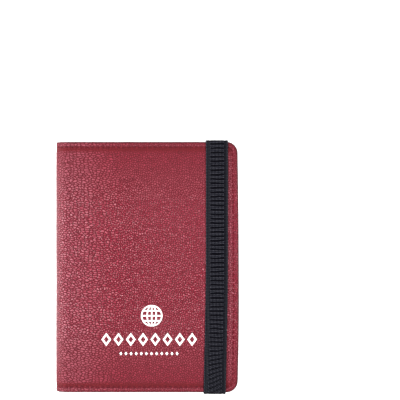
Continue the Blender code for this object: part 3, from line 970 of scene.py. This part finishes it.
def band_outline():
    """The band's section, as places across it, lift from its middle (1 on top, -1 underneath), and whether a
    point is on the ribbed face."""
    rim = np.radians(np.linspace(90, -90, 9))[1:-1]
    core = BAND_HALF_WIDTH - BAND_HALF_THICKNESS
    face = np.linspace(-core, core, 49)
    under = np.linspace(core, -core, 12)
    edge = core + BAND_HALF_THICKNESS * np.cos(rim)
    across = np.concatenate([face, edge, under, -edge])
    lift = np.concatenate([0 * face + 1, np.sin(rim), 0 * under - 1, -np.sin(rim)])
    is_face = np.concatenate([0 * face + 1, 0 * edge, 0 * under, 0 * edge])
    return across, lift, is_face


def band_section(at, sign):
    """Rings of points round the band at distances along its path from the middle, and the cloth's
    coordinates. sign is 1 towards the top edge and -1 towards the bottom."""
    y, z = np.interp(at, PATH_LENGTH, PATH_Y), np.interp(at, PATH_LENGTH, PATH_Z)
    step = 0.05 * MM
    dy = np.interp(at + step, PATH_LENGTH, PATH_Y) - np.interp(at - step, PATH_LENGTH, PATH_Y)
    dz = np.interp(at + step, PATH_LENGTH, PATH_Z) - np.interp(at - step, PATH_LENGTH, PATH_Z)
    size = np.hypot(dy, dz)
    out_y, out_z = -dz / size, dy / size
    across, lift, is_face = band_outline()
    u, length = np.meshgrid(across, at)
    signed = sign * length
    skew = RIB_SKEW * smooth((SKEW_START - signed) / SKEW_REACH)
    rib_y = signed - skew * u + RIB_WAVER * waves(u, signed, size=4.5 * MM, seed=2.3)
    fade = smooth((PATH_LENGTH[-1] - RIBS_END - length) / RIBS_FADE)
    off_ribs = np.abs(u - RIB_SHIFT)
    on_ribs = smooth((RIB_HALF_WIDTH - off_ribs) / (0.35 * MM))
    rib = RIB_HEIGHT * (np.abs(np.sin(pi * rib_y / RIB_PITCH)) ** 0.5 - 1) * on_ribs * fade
    border = -BORDER_DEPTH * dent(off_ribs - RIB_HALF_WIDTH - BORDER_OFFSET, 0.22 * MM)
    rise = lift * BAND_HALF_THICKNESS + is_face * (rib + border)
    lean = BAND_LEAN * np.clip((LEAN_START - signed) / LEAN_REACH, 0, 1) ** LEAN_CURVE
    x = BAND_CENTRE_X + u - lean + BAND_WAVER * waves(0 * signed, signed, size=30 * MM, seed=9.2)
    point_y = sign * (y[:, None] + rise * out_y[:, None])
    point_z = z[:, None] + rise * out_z[:, None]
    return np.stack([x, point_y, point_z], -1), np.stack([u - RIB_SHIFT, rib_y], -1)


def band_piece(name, sign, start, end):
    """A closed tube of the band's section, between two distances along its path."""
    points, cloth = band_section(spread(start, end, 0.24 * MM), sign)
    points = np.concatenate([points, points[:, :1]], 1)
    cloth = np.concatenate([cloth, cloth[:, :1]], 1)
    mesh = sheet_mesh(name, points, sign > 0, cloth=cloth)
    mesh.shade_smooth()
    piece = add_object(name, mesh, ELASTIC)
    return piece


def build_band():
    """The elastic as four pieces: a run over the front cover and a wrap round its edge, at the top and at
    the bottom."""
    run_end = float(np.interp(BAND_RUN_Y, PATH_Y[:BEND_POINTS], PATH_LENGTH[:BEND_POINTS]))
    for place, sign in (("top", 1), ("bottom", -1)):
        run = band_piece(f"elastic_run_{place}", sign, 0.0, run_end)
        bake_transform(run)
        if sign > 0:
            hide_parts("elastic_run")
        wrap = band_piece(f"elastic_wrap_{place}", sign, run_end, PATH_LENGTH[-1])
        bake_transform(wrap)
        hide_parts(f"elastic_end_{place}", f"elastic_corner_{place}")


# ---- foil print: a globe, a row of lozenges and a row of dots ----

FOIL_LIFT = 0.03 * MM
FOIL_THICKNESS = 0.05 * MM
GLOBE_CENTRE = (2.6 * MM, -27.5 * MM)
GLOBE_RADIUS = 5.7 * MM
GLOBE_LINE = 0.75 * MM
LOZENGES = 8
LOZENGE_ROW = (1.2 * MM, -40.9 * MM)
LOZENGE_PITCH = 6.95 * MM
LOZENGE_OUTER = (2.75 * MM, 3.7 * MM)
LOZENGE_INNER = (1.5 * MM, 2.05 * MM)
DOTS = 12
DOT_ROW = (1.1 * MM, -48.9 * MM)
DOT_PITCH = 2.9 * MM
DOT_OUTER = (0.8 * MM, 1.0 * MM)
DOT_INNER = (0.2 * MM, 0.2 * MM)


class Foil:
    """Flat shapes in x and y, laid on the front cover."""

    def __init__(self):
        self.vertices, self.faces = [], []

    def strip(self, first_side, second_side, closed=False):
        """Quads between two rows of points, the second on the left of the first."""
        base, count = len(self.vertices), len(first_side)
        self.vertices += [*first_side, *second_side]
        for i in range(count if closed else count - 1):
            j = (i + 1) % count
            self.faces.append((base + i, base + j, base + count + j, base + count + i))

    def stroke(self, points, width, closed=False):
        """A line of even width through the points."""
        if closed:
            along = np.roll(points, -1, 0) - np.roll(points, 1, 0)
        else:
            along = np.gradient(points, axis=0)
        across = np.stack([-along[:, 1], along[:, 0]], -1)
        across *= width / 2 / np.linalg.norm(across, axis=1, keepdims=True)
        self.strip((points - across).tolist(), (points + across).tolist(), closed)

    def lozenge(self, centre, outer, inner):
        """A lozenge with a hole. outer and inner are its half width and half height, and the hole's."""
        x, y = centre
        rings = [
            [(x + half_width, y), (x, y + half_height), (x - half_width, y), (x, y - half_height)]
            for half_width, half_height in (outer, inner)
        ]
        self.strip(*rings, closed=True)

    def row(self, count, middle, pitch, outer, inner):
        """A row of lozenges about its middle."""
        for i in range(count):
            x = middle[0] + (i - (count - 1) / 2) * pitch
            self.lozenge((x, middle[1]), outer, inner)

    def build(self):
        flat = np.array(self.vertices)
        s, y = s_of(flat[:, 0]), flat[:, 1]
        points = surface(1, s, y, face_depth(s, y, straight_inset(s, y)) - FOIL_LIFT)
        mesh = bpy.data.meshes.new("foil_print")
        mesh.from_pydata(points.tolist(), [], self.faces)
        layer = mesh.uv_layers.new(name="cloth")
        layer.data.foreach_set("uv", flat[np.array(self.faces).ravel()].ravel())
        foil = add_object("foil_print", mesh, WHITE_FOIL)
        thicken(foil, FOIL_THICKNESS)
        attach(foil, "front")


def globe_lines():
    """The outline, meridians and parallels of a globe, as (points, closed)."""
    x, y = GLOBE_CENTRE
    turn = np.linspace(0, 2 * pi, 48, endpoint=False)
    across = np.linspace(-1, 1, 13)
    lines = []
    for width in (1.0, 0.45):
        ring = [x + width * GLOBE_RADIUS * np.cos(turn), y + GLOBE_RADIUS * np.sin(turn)]
        lines.append((np.stack(ring, -1), True))
    lines.append((np.stack([x + 0 * across, y + GLOBE_RADIUS * across], -1), False))
    for height in (-0.5, 0.0, 0.5):
        half = GLOBE_RADIUS * np.sqrt(1 - height**2)
        parallel = [x + half * across, y + GLOBE_RADIUS * height + 0 * across]
        lines.append((np.stack(parallel, -1), False))
    return lines


def build_foil():
    foil = Foil()
    for points, closed in globe_lines():
        foil.stroke(points, GLOBE_LINE, closed)
    foil.row(LOZENGES, LOZENGE_ROW, LOZENGE_PITCH, LOZENGE_OUTER, LOZENGE_INNER)
    foil.row(DOTS, DOT_ROW, DOT_PITCH, DOT_OUTER, DOT_INNER)
    foil.build()


# ---- hidden layers ----


def finish_core():
    """Gives the foam pads and boards, which keep their CAD shapes, their materials."""
    cores = {"foam_pad": FOAM, "stiffener_board": BOARD}
    for node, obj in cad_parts.items():
        for ending, material in cores.items():
            if node.endswith(ending):
                obj.data.materials.clear()
                obj.data.materials.append(material)


# ---- stage ----

TABLE_Z = -0.4 * MM
CAMERA_DISTANCE = 0.9
CAMERA_X = 29.92 * MM
CAMERA_Y = 38.03 * MM
PICTURE_WIDTH = 226.5 * MM


def build_stage():
    """A table just under the back cover's soft face."""
    bpy.ops.mesh.primitive_plane_add(size=6, location=(0, 0, TABLE_Z))
    floor = bpy.context.object
    floor.name = "table"
    floor.data.materials.append(floor_material())


def area_light(name, place, size, watts):
    """A soft rectangular light that faces the wallet."""
    data = bpy.data.lights.new(name, "AREA")
    data.shape = "RECTANGLE"
    data.size, data.size_y = size
    data.energy = watts
    lamp = bpy.data.objects.new(name, data)
    lamp.location = place
    lamp.rotation_euler = (-Vector(place)).to_track_quat("-Z", "Y").to_euler()
    bpy.context.scene.collection.objects.link(lamp)


def build_light():
    """Softboxes from the left, the right and above, in a dim white room."""
    world = bpy.data.worlds.new("studio")
    world.use_nodes = True
    background = world.node_tree.nodes["Background"]
    background.inputs["Color"].default_value = rgb(1, 1, 1)
    background.inputs["Strength"].default_value = 0.12
    bpy.context.scene.world = world
    area_light("left_softbox", place=(-0.9, 0.05, 0.5), size=(0.45, 0.8), watts=12)
    area_light("high_left_softbox", place=(-0.8, 0.05, 1.15), size=(0.25, 0.45), watts=14)
    area_light("right_softbox", place=(0.7, 0.0, 1.15), size=(0.22, 0.4), watts=14)
    area_light("overhead", place=(0.05, 0.04, 1.6), size=(0.45, 0.2), watts=11)
    bpy.context.scene.view_settings.view_transform = "Standard"


def build_camera():
    """Straight above, far off, with the wallet low and left of the middle of the picture."""
    data = bpy.data.cameras.new("camera")
    data.sensor_width = 36
    data.lens = data.sensor_width * CAMERA_DISTANCE / PICTURE_WIDTH
    data.clip_start = 0.05
    camera = bpy.data.objects.new("camera", data)
    camera.location = (CAMERA_X, CAMERA_Y, TOP + CAMERA_DISTANCE)
    bpy.context.scene.collection.objects.link(camera)
    bpy.context.scene.camera = camera


cover_leather("front_leather", 1, ["front_cover_leather"])
cover_leather("back_leather", -1, ["back_cover_leather", "spine_leather"])
outer_seam("front_stitches", 1, ["front_seam_thread", "spine_seam_thread_top"])
outer_seam("back_stitches", -1, ["back_seam_thread", "spine_seam_thread_bottom"])
build_inside()
build_band()
build_foil()
finish_core()
build_stage()
build_light()
build_camera()
